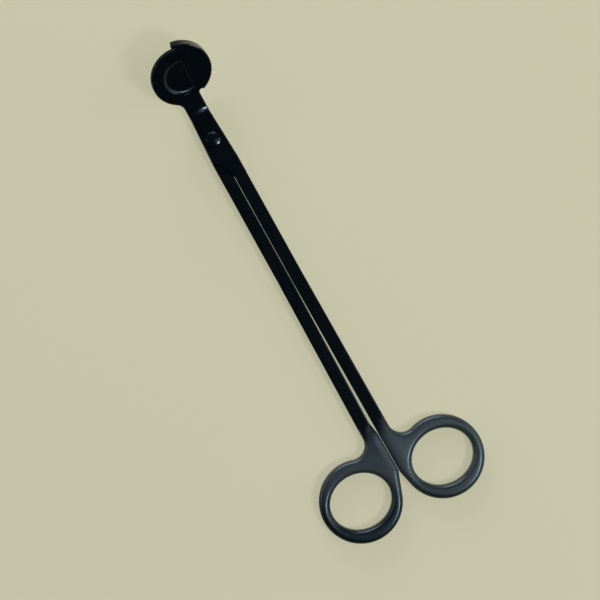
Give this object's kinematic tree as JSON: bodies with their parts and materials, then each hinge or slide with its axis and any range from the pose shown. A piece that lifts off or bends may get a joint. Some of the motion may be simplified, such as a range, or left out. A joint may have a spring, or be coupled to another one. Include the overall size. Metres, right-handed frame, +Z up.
{
  "type": "wick trimmer",
  "caption": "Scissor-like candle wick trimmer with long slim shanks, round finger rings and a bent-up round head that cuts a wick and catches the clipping in its dish.",
  "frame": {"origin": "middle of the bounding box's underside, on the plane the closed trimmer lies on", "axes": "+X along the shanks towards the cutting head, +Z up from the table, +Y towards the finger ring that carries the closing stop"},
  "size_m": [0.18, 0.0608, 0.0223],
  "materials": {
    "lever_black": "black coating on steel, glossy on the shanks and satin on the finger rings",
    "rivet_black": "glossy black coating",
    "washer_steel": "plain steel"
  },
  "bodies": {
    "lower": {"lower_lever": "lever_black", "pivot_rivet": "rivet_black", "spacer_washer": "washer_steel"},
    "upper": {"upper_lever": "lever_black"}
  },
  "joints": [
    {"name": "pivot", "type": "hinge", "parent": "lower", "child": "upper", "pos_m": [0.05708, 0, 0.00245], "axis": [0, 0, 1], "range_deg": [0, 40]}
  ]
}
